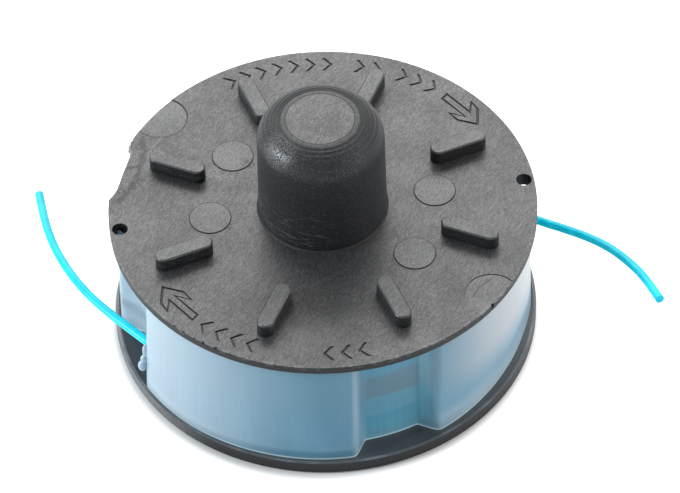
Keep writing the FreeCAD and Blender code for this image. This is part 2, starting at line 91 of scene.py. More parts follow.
def gridFaces(rows, columns, closedRows, closedColumns):
    # Four-sided faces between neighbours on a grid of rows times columns points.
    row = np.arange(rows if closedRows else rows - 1)
    column = np.arange(columns if closedColumns else columns - 1)
    r, c = [part.ravel() for part in np.meshgrid(row, column, indexing="ij")]
    nextR, nextC = (r + 1) % rows, (c + 1) % columns
    return np.stack([r * columns + c, nextR * columns + c, nextR * columns + nextC,
                     r * columns + nextC], 1).tolist()


def turned(radius, height, steps):
    # A closed profile turned about the z axis: (radius cos a, radius sin a, height) at each
    # angle a. Radius and height have one row for each point of the profile.
    angle = np.arange(steps) * 2 * np.pi / steps
    points = np.stack([radius * np.cos(angle), radius * np.sin(angle), height + 0 * angle], -1)
    return points.reshape(-1, 3), gridFaces(len(points), steps, True, True)


def polar(radius, azimuth, height=0.0):
    # Points at a radius and an azimuth: (radius cos a, radius sin a, height).
    angle = np.radians(azimuth)
    return np.stack([radius * np.cos(angle), radius * np.sin(angle),
                     height + 0.0 * angle * radius], -1)


def flatPoint(pair):
    # A point on the plane of z = 0, from its x and y in millimetres.
    return pair[0] * mm, pair[1] * mm, 0


# Camera, at the photograph's place

cameraPlace = {
    "position": (0.0, -487.715 * mm, 559.782 * mm),
    "right": (0.99948394, -0.02632228, -0.01841183),
    "up": (0.03188429, 0.74325616, 0.66824672),
    "forward": (0.00390508, 0.66848891, -0.74371186),
    "lens": 215.66,
    "sensor": 36.0,
}


def placeCamera(place):
    data = bpy.data.cameras.new("camera")
    data.lens = place["lens"]
    data.sensor_fit = "HORIZONTAL"
    data.sensor_width = place["sensor"]
    data.clip_start = 0.01
    camera = bpy.data.objects.new("camera", data)
    bpy.context.scene.collection.objects.link(camera)
    backward = [-part for part in place["forward"]]
    axes = Matrix([place["right"], place["up"], backward]).transposed()
    camera.matrix_world = Matrix.Translation(place["position"]) @ axes.to_4x4()
    bpy.context.scene.camera = camera


placeCamera(cameraPlace)
print("camera placed")


# Shader maths: a wire is one output, and arithmetic on it adds Math nodes

class Wire:
    def __init__(self, finish, socket):
        self.finish = finish
        self.socket = socket

    def maths(self, operation, *values):
        return self.finish.node("ShaderNodeMath", {"operation": operation}, values)

    def __add__(self, other):
        return self.maths("ADD", self, other)

    def __radd__(self, other):
        return self.maths("ADD", other, self)

    def __sub__(self, other):
        return self.maths("SUBTRACT", self, other)

    def __rsub__(self, other):
        return self.maths("SUBTRACT", other, self)

    def __mul__(self, other):
        return self.maths("MULTIPLY", self, other)

    def __rmul__(self, other):
        return self.maths("MULTIPLY", other, self)

    def __truediv__(self, other):
        return self.maths("DIVIDE", self, other)

    def smallerOf(self, other):
        return self.maths("MINIMUM", self, other)

    def largerOf(self, other):
        return self.maths("MAXIMUM", self, other)

    def size(self):
        return self.maths("ABSOLUTE", self)

    def root(self):
        return self.maths("SQRT", self)

    def sine(self):
        return self.maths("SINE", self)


def smallest(wires):
    # the least of several wires
    least = wires[0]
    for wire in wires[1:]:
        least = least.smallerOf(wire)
    return least


def largest(*wires):
    # the most of several wires
    most = wires[0]
    for wire in wires[1:]:
        most = most.largerOf(wire)
    return most


class Finish:
    # The nodes of a material or a world, with one method for any node and short names for a few.
    def __init__(self, owner):
        self.owner = owner
        self.owner.use_nodes = True
        self.tree = owner.node_tree
        self.tree.nodes.clear()

    def node(self, kind, settings=None, values=(), output=0):
        node = self.tree.nodes.new(kind)
        for key, setting in (settings or {}).items():
            setattr(node, key, setting)
        pairs = values.items() if isinstance(values, dict) else enumerate(values)
        for key, given in pairs:
            if isinstance(given, Wire):
                self.tree.links.new(given.socket, node.inputs[key])
            else:
                node.inputs[key].default_value = given
        return Wire(self, node.outputs[output]) if len(node.outputs) else node

    def place(self):
        # object coordinates
        return self.node("ShaderNodeTexCoord", output=3)

    def facing(self):
        # the surface's own direction
        return self.node("ShaderNodeTexCoord", output=1)

    def parts(self, vector):
        split = self.node("ShaderNodeSeparateXYZ", values=[vector])
        return [Wire(self, output) for output in split.socket.node.outputs]

    def vectors(self, operation, values, output=0):
        return self.node("ShaderNodeVectorMath", {"operation": operation}, values, output)

    def radius(self, x, y):
        return (x * x + y * y).root()

    def stretched(self, vector, stretch, turn=0.0):
        # a pattern drawn out by these factors along axes turned about z
        return self.node("ShaderNodeMapping", {"vector_type": "TEXTURE"}, {
            "Vector": vector, "Rotation": (0, 0, math.radians(turn)), "Scale": stretch})

    def distance(self, vector, centres):
        # how far the nearest of these points is, seen along z
        flat = self.vectors("MULTIPLY", [vector, (1, 1, 0)])
        return smallest([self.vectors("DISTANCE", [flat, tuple(centre)], 1) for centre in centres])

    def lineDistance(self, vector, lines):
        # how far the nearest of these straight lines is, seen along z
        flat = self.vectors("MULTIPLY", [vector, (1, 1, 0)])
        spans = []
        for line in lines:
            start, end = [Vector(flatPoint(corner)) for corner in line]
            along = (end - start).normalized()
            offset = self.vectors("SUBTRACT", [flat, start])
            run = self.vectors("DOT_PRODUCT", [offset, along], 1)
            run = run.largerOf(0.0).smallerOf((end - start).length)
            foot = self.vectors("SCALE", {0: along, "Scale": run})
            spans.append(self.vectors("DISTANCE", [offset, foot], 1))
        return smallest(spans)

    def between(self, amount, low, high, first=0.0, last=1.0):
        # a smooth step from the first value at low to the last value at high
        return self.node("ShaderNodeMapRange", {"interpolation_type": "SMOOTHSTEP"},
                         [amount, low, high, first, last])

    def below(self, amount, low, high):
        # 1 up to low, 0 from high on
        return self.between(amount, low, high, 1.0, 0.0)

    def within(self, amount, start, low, high, end):
        # 1 from low to high, 0 outside start and end
        return self.between(amount, start, low) * self.below(amount, high, end)

    def near(self, amount, value, half, soft):
        # 1 where an amount is within half of a value, 0 beyond half + soft
        return self.below((amount - value).size(), half, half + soft)

    def noise(self, vector, scale, detail=2.0, roughness=0.5):
        return self.node("ShaderNodeTexNoise", None, {
            "Vector": vector, "Scale": scale, "Detail": detail, "Roughness": roughness})

    def mix(self, share, first, second):
        colours = [(*part, 1.0) if isinstance(part, tuple) else part for part in (first, second)]
        return self.node("ShaderNodeMix", {"data_type": "RGBA"},
                         {0: share, 6: colours[0], 7: colours[1]}, output=2)

    def bump(self, height, distance, strength):
        return self.node("ShaderNodeBump", None,
                         {"Height": height, "Distance": distance, "Strength": strength})

    def plastic(self, **sockets):
        named = {key.replace("_", " "): given for key, given in sockets.items()}
        return self.node("ShaderNodeBsdfPrincipled", None, named)

    def done(self, surface, outputKind="ShaderNodeOutputMaterial"):
        self.node(outputKind, None, {"Surface": surface})
        return self.owner


# The free ends of the line

lineLook = {
    "diameter": 1.6 * mm,
    "clear": (0.0, 0.50, 0.68),
    "pale": (0.02, 0.74, 0.92),
    "roughness": 0.20,
    # painted light: the line is given a faint cyan glow of its own
    "glow": (0.0, 0.80, 1.0),
    "paintedGlowStrength": 0.14,
    "lengths": {"left": 43.3 * mm, "right": 44.6 * mm},
}
# where the right end leaves its slot, and the left one half a turn round
exitPoint = polar(35.62 * mm, 26.8, 11.3 * mm)
leftExit = exitPoint * np.array([-1, -1, 1])
# each end's way from its slot, in millimetres
leftSteps = (
    (0.0, 0.0, 0.0), (-3.2, 3.3, 0.0), (-7.6, 7.85, -0.1), (-11.7, 13.05, -0.2),
    (-15.0, 18.75, -0.3), (-17.5, 24.75, -0.5), (-19.2, 31.05, -0.6), (-20.2, 37.35, -0.7),
)
rightSteps = (
    (0.0, 0.0, 0.0), (3.52, -3.63, 0.0), (7.5, -7.05, 1.0), (11.7, -10.15, 2.2),
    (15.6, -13.45, 3.5), (19.2, -17.25, 4.8), (22.4, -22.05, 6.1), (25.2, -27.75, 7.4),
    (26.9, -33.45, 8.7),
)


def lineCurve(name, points, finish):
    # A round line along the NURBS curve that these points control.
    data = bpy.data.curves.new(name, "CURVE")
    data.dimensions = "3D"
    data.bevel_depth = lineLook["diameter"] / 2
    data.bevel_resolution = 6
    data.resolution_u = 16
    data.use_fill_caps = True
    spline = data.splines.new("NURBS")
    spline.points.add(len(points) - 1)
    for point, place in zip(spline.points, points):
        point.co = (*place, 1.0)
    spline.order_u = 3
    spline.use_endpoint_u = True
    data.materials.append(finish)
    return data


def addLineEnd(name, node, start, steps, finish):
    points = [start + np.array(step) * mm for step in steps]
    lineEnd = addPiece(name, lineCurve(name, points, finish), "cutting_line", node)


def lineFinish(look):
    finish = Finish(bpy.data.materials.new("cuttingLine"))
    place = finish.place()
    cloud = finish.between(finish.noise(place, 420.0, 3.0), 0.35, 0.7)
    fine = finish.noise(place, 2600.0, 2.0)
    colour = finish.mix(cloud * 0.45, look["clear"], look["pale"])
    # painted glow: the line shines faintly in its own cyan
    return finish.done(finish.plastic(
        Base_Color=colour, Roughness=look["roughness"] + 0.12 * fine, IOR=1.53,
        Specular_IOR_Level=0.2, Emission_Color=(*look["glow"], 1.0),
        Emission_Strength=look["paintedGlowStrength"], Normal=finish.bump(fine, 0.03 * mm, 0.5)))


lineMaterial = lineFinish(lineLook)
addLineEnd("lineEndLeft", "line_end_left", leftExit, leftSteps,
           lineMaterial)
addLineEnd("lineEndRight", "line_end_right", exitPoint, rightSteps,
           lineMaterial)
print("line ends made")


# The windings, and the length of line that leads from each to its slot

woundLook = {
    "core": 18.0 * mm,
    "turnRadius": 0.86 * mm,
    "unevenness": 0.10 * mm,
    "steps": 180,
    "divider": 1.5 * mm,
    # outer radius, how many turns lie on each other, and the height that the lead starts at
    "lower": {"outer": 30.3 * mm, "turns": 6, "lead": 11.7 * mm},
    "upper": {"outer": 29.1 * mm, "turns": 8, "lead": 15.0 * mm},
    "leadDepth": 2.2 * mm,
    "leadRun": 4.6 * mm,
}
# points of a lead: degrees before the slot, share of the way out, share of the way down
leadSteps = ((66, 0, 0), (55, 0.1, 0), (44, 0.36, 0), (33, 0.66, 0), (22, 0.88, 0),
             (11, 0.97, 0.5))


def windingShell(low, high, outer, turns):
    # Outer radius along the height is a row of half rounds, one for each turn, whose crests
    # wander a little with azimuth; the other three sides of the section are flat.
    perTurn, steps = 7, woundLook["steps"]
    share = np.linspace(0.0, turns, turns * perTurn + 1)
    pitch = (high - low) / turns
    off = (share - np.floor(share) - 0.5) * pitch
    off[-1] = -0.5 * pitch
    turnRadius = woundLook["turnRadius"]
    bulge = np.sqrt(np.maximum(turnRadius ** 2 - off ** 2, 0)) - turnRadius
    angle = np.arange(steps) * 2 * np.pi / steps
    wander = np.sin(3 * angle[None] + 1.7 * np.floor(share)[:, None]) - 1
    crests = outer + bulge[:, None] + 0.5 * woundLook["unevenness"] * wander
    core = np.full((1, steps), woundLook["core"])
    height = np.concatenate([[low], low + share * pitch, [high]])
    return turned(np.concatenate([core, crests, core]), height[:, None], steps)


def leadPoints(start, steps, outer, height):
    # The line's way back from its slot: straight in against its first step, then round the
    # winding while it sinks into it.
    way = np.array(steps[1]) * mm
    way = way / np.linalg.norm(way)
    last = start - way * woundLook["leadRun"]
    lastRadius, lastAzimuth = np.hypot(last[0], last[1]), np.degrees(np.arctan2(last[1], last[0]))
    first = outer - woundLook["leadDepth"]
    points = [polar(first + (lastRadius - first) * out, lastAzimuth + left,
                    height + (last[2] - height) * down) for left, out, down in leadSteps]
    return points + [last, start]


def addWinding(name, node, chamber, low, start, steps, finish):
    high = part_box(node)[1].z
    mesh = meshOf(name, [windingShell(low, high, chamber["outer"], chamber["turns"])])
    mesh.materials.append(finish)
    addPiece(name, mesh, "cutting_line", node)
    points = leadPoints(start, steps, chamber["outer"], chamber["lead"])
    addPiece(name + "Lead", lineCurve(name + "Lead", points, finish), "cutting_line")


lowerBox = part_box("lower_winding")
addWinding("lowerWinding", "lower_winding", woundLook["lower"], lowerBox[0].z,
           leftExit, leftSteps, lineMaterial)
addWinding("upperWinding", "upper_winding", woundLook["upper"],
           lowerBox[1].z + woundLook["divider"], exitPoint, rightSteps, lineMaterial)
print("windings made")


# The milky band

bandLook = {
    "outer": 36.95 * mm,
    "wall": 0.7 * mm,
    "floorOuter": 33.4 * mm,
    "edgeRound": 0.16 * mm,
    "cornerBlur": 0.42 * mm,
    "points": 1500,
    # how far the soft wall stands out of round at these azimuths, at its lower and upper edge
    "flexAzimuth": (0, 20, 32, 60, 150, 180, 200, 211, 218, 228, 239, 249, 258, 269, 303, 318,
                    330, 345, 357),
    "flexLow": (0.35, 0.4, 0.6, 0.0, 0.0, 0.2, 0.35, 0.70, 0.68, 0.55, 0.30, 0.10, 0.04,
                -0.03, -0.27, -0.57, -0.68, -0.42, 0.35),
    "flexHigh": (-0.2, -0.5, -0.8, 0.0, 0.0, -0.2, -0.5, -0.8, -0.5, -0.2, -0.12, -0.2, -0.2,
                 -0.1, -0.2, -0.3, -0.3, -0.2, -0.2),
    # the slot's radius, azimuth, height and size
    "slot": (35.15 * mm, 28.9, 11.3 * mm, (2.1 * mm, 3.2 * mm, 2.1 * mm)),
    # small lumps below each slot, and the eyelet that the line leaves through: radius, azimuth,
    # height and the three radii of the lump
    "nibs": ((37.5, 28.6, 7.2, (0.85, 0.85, 1.2)), (37.15, 28.75, 8.9, (0.68, 0.68, 0.9)),
             (36.8, 28.95, 10.9, (0.6, 0.6, 1.7))),
    # the reel's divider shows through each recess's floor, fading at these heights
    "dividerShows": (13.4 * mm, 13.8 * mm, 18.7 * mm, 19.5 * mm),
    "clear": (0.055, 0.24, 0.37),
    "milk": (0.13, 0.37, 0.51),
    "grey": (0.11, 0.26, 0.36),
    "pale": (0.74, 0.81, 0.855),
    "reflectedWhite": (0.58, 0.54, 0.52),
    "pocket": (0.080, 0.33, 0.46),
    "dividerTint": (0.105, 0.20, 0.26),
    "lit": (0.42, 0.85, 1.0),
    "lilac": (0.34, 0.42, 0.50),
    "nib": (0.25, 0.38, 0.50),
    # the edge colour is a painted highlight on the lower edge, and its glow is painted light
    "edge": (0.66, 0.87, 0.96),
    "paintedEdgeGlow": 0.30,
    "roughness": 0.30,
    "through": 0.30,
    "throughTint": (0.60, 0.84, 0.94),
}
# each recess: mouth, floor, floor, mouth azimuths; the second pair ends in a steep step
recesses = ((96.7, 100.2, 118.0, 122.0), (276.7, 280.2, 298.0, 302.0),
            (5.4, 10.1, 28.9, 29.8), (185.4, 190.1, 208.9, 209.8))


def flexed(look, edge, azimuth):
    # The measured flex, blurred round the circle and read at any azimuth.
    count = 720
    even = np.arange(count) * 360 / count
    flex = np.interp(even, look["flexAzimuth"], look[edge], period=360) * mm
    soften = np.exp(-0.5 * (np.fft.fftfreq(count) * count / 24.0) ** 2)
    return np.interp(azimuth, even, np.fft.ifft(np.fft.fft(flex) * soften).real, period=360)


def evenly(line, count):
    # The same closed line with its points at equal steps along it.
    closed = np.vstack([line, line[:1]])
    run = np.concatenate([[0], np.cumsum(np.linalg.norm(np.diff(closed, axis=0), axis=1))])
    at = np.linspace(0, run[-1], count, endpoint=False)
    return np.stack([np.interp(at, run, closed[:, axis]) for axis in (0, 1)], 1)


def bandLine(look):
    # Middle line of the wall: the flexed circle, dropped to the floor radius in each recess,
    # then blurred along its own length so that every corner is round.
    azimuth = np.linspace(0, 360, 14400, endpoint=False)
    radius = look["outer"] + flexed(look, "flexLow", azimuth)
    for recess in recesses:
        share = np.interp(azimuth, recess, (0, 1, 1, 0))
        radius = radius * (1 - share) + look["floorOuter"] * share
    line = evenly(polar(radius - look["wall"] / 2, azimuth)[:, :2], 6000)
    step = np.linalg.norm(line[1] - line[0])
    waves = 2 * np.pi * np.fft.fftfreq(len(line)) * look["cornerBlur"] / step
    soften = np.exp(-0.5 * waves ** 2)
    line = np.fft.ifft(np.fft.fft(line, axis=0) * soften[:, None], axis=0).real
    return evenly(line, look["points"])


def bandShell(look, low, high):
    # The middle line pushed out and in along its own normal, with rounded upper and lower edges.
    line = bandLine(look)
    ahead = np.roll(line, -1, 0) - np.roll(line, 1, 0)
    normal = np.stack([ahead[:, 1], -ahead[:, 0]], 1) / np.linalg.norm(ahead, axis=1)[:, None]
    half, edge = look["wall"] / 2, look["edgeRound"]
    corner = np.radians(np.linspace(0, 90, 4))
    push = half - edge + edge * np.cos(corner)
    lift = edge * np.sin(corner)
    between = np.linspace(low + edge, high - edge, 9)[1:-1]
    side = np.concatenate([push[::-1], np.full(7, half), push])
    height = np.concatenate([low + edge - lift[::-1], between, high - edge + lift])
    pushes = np.concatenate([side, -side[::-1]])
    heights = np.concatenate([height, height[::-1]])
    flat = line[None] + normal[None] * pushes[:, None, None]
    # the wall leans from its lower flex to its upper one, except on the recess floors
    azimuth = np.degrees(np.arctan2(line[:, 1], line[:, 0]))
    lean = flexed(look, "flexHigh", azimuth) - flexed(look, "flexLow", azimuth)
    lineRadius = np.linalg.norm(line, axis=1)
    recessDepth = look["outer"] - look["floorOuter"]
    lean *= np.clip((lineRadius - look["floorOuter"]) / recessDepth, 0, 1)
    rise = ((heights - low) / (high - low))[:, None, None]
    flat = flat * (1 + rise * (lean / lineRadius)[None, :, None])
    tall = np.repeat(heights[:, None, None], len(line), 1)
    points = np.concatenate([flat, tall], 2).reshape(-1, 3)
    return points, [face[::-1] for face in gridFaces(len(pushes), len(line), True, True)]


def blob(centre, radii):
    # A sphere of (cos b cos a, cos b sin a, sin b), stretched to three radii.
    rings, steps = 11, 20
    rise = np.linspace(-90, 90, rings + 2)[1:-1]
    around = np.arange(steps) * 360 / steps
    circle = np.cos(np.radians(rise))[:, None]
    unit = np.stack([circle * np.cos(np.radians(around)), circle * np.sin(np.radians(around)),
                     np.sin(np.radians(rise))[:, None] + 0 * around], -1).reshape(-1, 3)
    points = np.vstack([unit, [[0, 0, -1]], [[0, 0, 1]]]) * radii + centre
    sides = [face[::-1] for face in gridFaces(rings, steps, False, True)]
    low, high, lastRing = rings * steps, rings * steps + 1, (rings - 1) * steps
    sides += [[low, (step + 1) % steps, step] for step in range(steps)]
    sides += [[high, lastRing + step, lastRing + (step + 1) % steps] for step in range(steps)]
    return points, sides


def cutBox(centre, turn, size):
    # A box cutter: eight corners at half its size, turned about z.
    signs = np.array([(x, y, z) for x in (-1, 1) for y in (-1, 1) for z in (-1, 1)]) * 0.5
    local = signs * np.array(size)
    c, s = math.cos(math.radians(turn)), math.sin(math.radians(turn))
    points = np.stack([local[:, 0] * c - local[:, 1] * s, local[:, 0] * s + local[:, 1] * c,
                       local[:, 2]], 1) + centre
    faces = [(0, 1, 3, 2), (4, 6, 7, 5), (0, 4, 5, 1), (2, 3, 7, 6), (0, 2, 6, 4), (1, 5, 7, 3)]
    return points, faces


def cutAway(mesh, cutterShells, name):
    # Boolean difference, applied, with both working objects removed afterwards.
    body = bpy.data.objects.new(name + "Body", mesh)
    cutterMesh = meshOf(name + "Cutter", cutterShells)
    cutter = bpy.data.objects.new(name + "Cutter", cutterMesh)
    for each in (body, cutter):
        bpy.context.scene.collection.objects.link(each)
    modifier = body.modifiers.new("cut", "BOOLEAN")
    modifier.operation = "DIFFERENCE"
    modifier.solver = "EXACT"
    modifier.object = cutter
    graph = bpy.context.evaluated_depsgraph_get()
    result = bpy.data.meshes.new_from_object(body.evaluated_get(graph))
    bpy.data.objects.remove(body)
    bpy.data.objects.remove(cutter)
    bpy.data.meshes.remove(cutterMesh)
    result.name = name
    return result


def bandFinish(look, low):
    finish = Finish(bpy.data.materials.new("milkyBand"))
    place = finish.place()
    x, y, z = finish.parts(place)
    away = finish.radius(x, y)
    streaks = finish.noise(finish.stretched(place, (1.0, 1.0, 40.0)), 1500.0, 3.0, 0.6)
    broad = finish.noise(finish.stretched(place, (1.0, 1.0, 8.0)), 160.0, 2.0)
    cloud = finish.noise(place, 70.0, 3.0)
    streaky = finish.between(streaks, 0.38, 0.62)
    recessed = finish.below(away, 34.2 * mm, 36.4 * mm)
    corner = finish.near(away, 36.2 * mm, 0.2 * mm, 0.4 * mm)
    # which way a wall leans off the radius: painted light makes one side of each recess paler
    # than the other and lights its steep side
    facing = finish.parts(finish.facing())
    lean = (x * facing[1] - y * facing[0]) / away
    paler = finish.between(lean, 0.1, 0.4)
    deeper = finish.below(lean, -0.85, -0.6)
    upper = finish.between(z, 12.0 * mm, 17.5 * mm)
    edge = finish.below(z, low + 0.35 * mm, low + 0.60 * mm)
    # the outer wall: clear with milky streaks and greyer above, with painted light making it pale
    # at the left, along the foot and at the right of the foot
    milky = 0.4 * finish.between(cloud, 0.3, 0.7) + 0.10 * streaky + 0.3 * (
        finish.between(broad, 0.4, 0.6) - 0.5)
    colour = finish.mix(milky, look["clear"], look["milk"])
    colour = finish.mix(upper * 0.5, colour, look["grey"])
    litFromLeft = finish.below(x, -38.0 * mm, 2.0 * mm)
    foot = finish.below(z, low + 0.6 * mm, low + 4.0 * mm)
    rightFootLit = finish.below(z, low + 0.6 * mm, low + 6.5 * mm) * (
        0.85 * finish.between(x, 8.0 * mm, 30.0 * mm))
    pale = largest(litFromLeft * (0.66 + 0.34 * foot), foot * 0.15, rightFootLit)
    colour = finish.mix(pale, colour, look["pale"])
    # painted reflection: a warm white at the upper right
    rightReflection = finish.between(x, 16.0 * mm, 35.0 * mm) * finish.between(z, 6.0 * mm, 16.0 * mm)
    colour = finish.mix(rightReflection * 0.88, colour, look["reflectedWhite"])
    # the recesses: the line's blue, the divider behind it, and painted light from below, at one
    # side and at the left
    divider = finish.within(z, *look["dividerShows"])
    inside = finish.mix(divider * (0.55 + 0.45 * streaky), look["pocket"], look["dividerTint"])
    fromBelow = finish.between(z, low, low + 9.0 * mm, 0.55, 0.0)
    inside = finish.mix(fromBelow.largerOf(deeper * 0.62), inside, look["lit"])
    inside = finish.mix(paler * 0.25, inside, look["lilac"])
    inside = finish.mix(litFromLeft * 0.90, inside, look["pale"])
    colour = finish.mix(recessed * (0.82 + 0.16 * streaky), colour, inside)
    # painted light: the paler side walls fade towards the floor; corners and the lower edge are
    # painted as catching the light
    faded = 1.0 - 0.75 * finish.between(away, 35.4 * mm, 34.6 * mm)
    colour = finish.mix(paler * (0.65 - 0.2 * litFromLeft) * faded, colour, look["lilac"])
    colour = finish.mix(corner * 0.12, colour, look["edge"])
    colour = finish.mix(edge * 0.95, colour, look["edge"])
    alpha = (0.97 - 0.14 * recessed + 0.10 * streaky + edge).smallerOf(1.0)
    wall = finish.plastic(
        Base_Color=colour, Roughness=look["roughness"] + 0.08 * streaks, IOR=1.55,
        Specular_IOR_Level=0.25, Alpha=alpha, Coat_Weight=0.7 - 0.4 * paler - 0.25 * corner,
        Coat_Roughness=0.14, Coat_IOR=1.5,
        # painted glow: the lower edge glows in its edge colour
        Emission_Color=finish.mix(edge, (0.0, 0.0, 0.0), look["edge"]),
        Emission_Strength=look["paintedEdgeGlow"], Normal=finish.bump(streaks, 0.02 * mm, 0.35))
    glow = finish.node("ShaderNodeBsdfTranslucent", None, {"Color": (*look["throughTint"], 1.0)})
    return finish.done(finish.node("ShaderNodeMixShader", None, [look["through"], wall, glow]))


def nibFinish(look):
    finish = Finish(bpy.data.materials.new("milkyNib"))
    return finish.done(finish.plastic(Base_Color=(*look["nib"], 1.0), Roughness=0.35, IOR=1.5))


def addBand(look):
    low, high = [corner.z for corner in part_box("line_band")]
    radius, azimuth, height, size = look["slot"]
    slots = [cutBox(polar(radius, azimuth + turn, height), azimuth + turn, size)
             for turn in (0, 180)]
    mesh = cutAway(meshOf("milkyBand", [bandShell(look, low, high)]), slots, "milkyBand")
    nibs = meshOf("bandNibs", [
        blob(polar(radius * mm, azimuth + turn, height * mm), np.array(radii) * mm)
        for turn in (0, 180) for radius, azimuth, height, radii in look["nibs"]])
    nibs.polygons.foreach_set("material_index", np.ones(len(nibs.polygons), dtype=np.int32))
    joinInto(mesh, nibs)
    smoothFaces(mesh, 50.0)
    mesh.materials.clear()
    mesh.materials.append(bandFinish(look, low))
    mesh.materials.append(nibFinish(look))
    addPiece("milkyBand", mesh, "band_plastic", "line_band")


addBand(bandLook)
print("band made")


# The black reel

reelLook = {
    "top": 28.5 * mm,
    "grooveWidth": 0.46 * mm,
    "grooveDepth": 0.20 * mm,
    # painted shade: a dark wall seen through each line hole, below the flange, stands in for the
    # hole's shade: radius and azimuths, then inner and outer radius, lower and upper height
    "holes": (36.15 * mm, (7, 187)),
    "shadeSleeve": (1.4 * mm, 1.55 * mm, 25.7 * mm, 27.0 * mm),
    # heights between which a mask comes and goes
    "flangeFace": (27.5 * mm, 28.2 * mm, 28.8 * mm, 29.0 * mm),
    "ribTops": (30.4 * mm, 30.6 * mm, 31.2 * mm, 31.4 * mm),
    "knobTop": (47.0 * mm, 49.0 * mm),
    "belowLip": (3.0 * mm, 2.6 * mm),
    "pinDisc": 3.5 * mm,
    "pinLine": 3.68 * mm,
    "slideDisc": 4.65 * mm,
    "slideLine": 4.85 * mm,
    # dark is the walls' colour; pale is painted light on faces that look up
    "dark": (0.012, 0.013, 0.0145),
    "pale": (0.040, 0.040, 0.041),
    "mark": (0.085, 0.086, 0.087),
    "wornAndHighlight": (0.30, 0.31, 0.32),
    "base": (0.060, 0.066, 0.070),
    "floorShadeTint": (0.014, 0.028, 0.038),
    "roughness": 0.42,
    "sheenRoughness": 0.38,
    "sheenIor": 1.62,
    "glintPlace": (-7.3 * mm, -6.2 * mm, 48.9 * mm),
    "speckleScale": 4200.0,
    "grainDepth": 0.18 * mm,
}
# outline of the direction arrow on the flange: radius and azimuth of each corner
arrowCorners = ((33.74, 213.0), (31.56, 218.4), (31.67, 222.6), (33.22, 217.8), (33.48, 228.3),
                (34.91, 228.5), (34.55, 218.3), (36.45, 221.1), (36.13, 217.8))
chevronRows = (233.5, 238.5, 243.5, 248.5, 271.0, 276.0, 281.0, 54.5, 59.5, 64.5, 73.0, 78.0,
               88.0, 93.0, 98.0, 103.0, 108.0, 113.0, 118.0)
chevron = {"radius": 34.7 * mm, "halfHeight": 1.6 * mm, "sweep": 1.4 * mm, "stroke": 0.60 * mm}
pinMarks = [polar(20.1 * mm, azimuth) for azimuth in (7, 187, 142, 322)]
slideMarks = [polar(36.55 * mm, azimuth) for azimuth in (142, 322)]
# damage, in millimetres but for the notch's size: the rim's notch and its nicks, each with its
# azimuth and size
rimNotch = (319.4, (1.5 * mm, 0.7 * mm, 1.2 * mm))
rimNicks = ((226.5, 0.35), (229.5, 0.45), (233.2, 0.3), (236.0, 0.4), (239.8, 0.45),
            (244.0, 0.3), (301.0, 0.25), (308.0, 0.25), (326.0, 0.4), (334.0, 0.3))
# lumps of torn plastic that stand out from the corner of the break: centre and radii
burrLumps = (((-34.25, 15.6, 28.1), (0.34, 0.7, 0.30)), ((-34.4, 14.7, 28.2), (0.2, 0.45, 0.2)),
             ((-34.0, 16.6, 28.2), (0.25, 0.5, 0.25)))
# painted shade as dark spots beside two of the discs, dark rough spots along the broken
# place, and pale scuffs
scarAndShadeSpots = ((-13.1, 10.4), (-17.0, -4.6), (-34.5, 10.3), (-32.4, 6.8), (-33.2, 15.4),
             (-35.6, 4.6), (-36.4, 2.3))
scuffSpots = ((-19.0, 8.5), (-17.4, 7.2), (-24.5, -10.5))
# the torn trough along the broken place, a line across one slide disc, and scratches
tornLines = (((-31.9, 17.0), (-31.7, 14.0)), ((-31.7, 14.0), (-33.1, 6.8)),
             ((-33.1, 6.8), (-36.2, 2.0)))
discLines = (((25.3, -22.9), (26.9, -20.4)), ((26.9, -20.4), (29.0, -18.6)))
scratches = (((-28.5, 17.7), (-30.1, 15.3)), ((9.9, 31.6), (11.5, 30.2)),
             ((-19.6, 8.2), (-17.6, 6.6)))


def mitred(corners, offset):
    # Each corner of a closed outline moved along the bisector of its two edges.
    before, after = corners - np.roll(corners, 1, 0), np.roll(corners, -1, 0) - corners
    before /= np.linalg.norm(before, axis=1)[:, None]
    after /= np.linalg.norm(after, axis=1)[:, None]
    first = np.stack([before[:, 1], -before[:, 0]], 1)
    second = np.stack([after[:, 1], -after[:, 0]], 1)
    along = first + second
    scale = offset / np.maximum((along * first).sum(1), 0.35)
    return corners + along * scale[:, None]


def atHeight(corners, height):
    # A flat outline lifted to one height.
    return np.hstack([corners, np.full((len(corners), 1), height)])


def groove(corners, width, depth, top):
    # A groove along a closed outline: its section is a trapezium, wide above and narrow below.
    rows = ((width * 0.5, top + depth), (width * 0.5, top), (width * 0.28, top - depth),
            (-width * 0.28, top - depth), (-width * 0.5, top), (-width * 0.5, top + depth))
    points = np.concatenate([atHeight(mitred(corners, push), height) for push, height in rows])
    return points, gridFaces(len(rows), len(corners), True, True)


def prism(corners, depth, top):
    # A straight block on an outline, from a depth above the top face to a depth below it.
    count = len(corners)
    levels = [atHeight(corners, height) for height in (top + depth, top - depth)]
    caps = [list(range(count))[::-1], [count + each for each in range(count)]]
    return np.concatenate(levels), gridFaces(2, count, False, True) + caps


def chevronOutline(azimuth):
    # Two strokes that meet in a point towards lower azimuth: six corners turned to the azimuth.
    half, sweep, stroke = chevron["halfHeight"], chevron["sweep"], chevron["stroke"]
    local = np.array([(0, -sweep), (half, 0), (half, stroke), (0, stroke - sweep),
                      (-half, stroke), (-half, 0)])
    c, s = math.cos(math.radians(azimuth)), math.sin(math.radians(azimuth))
    out = chevron["radius"] + local[:, 0]
    return np.stack([out * c - local[:, 1] * s, out * s + local[:, 1] * c], 1)


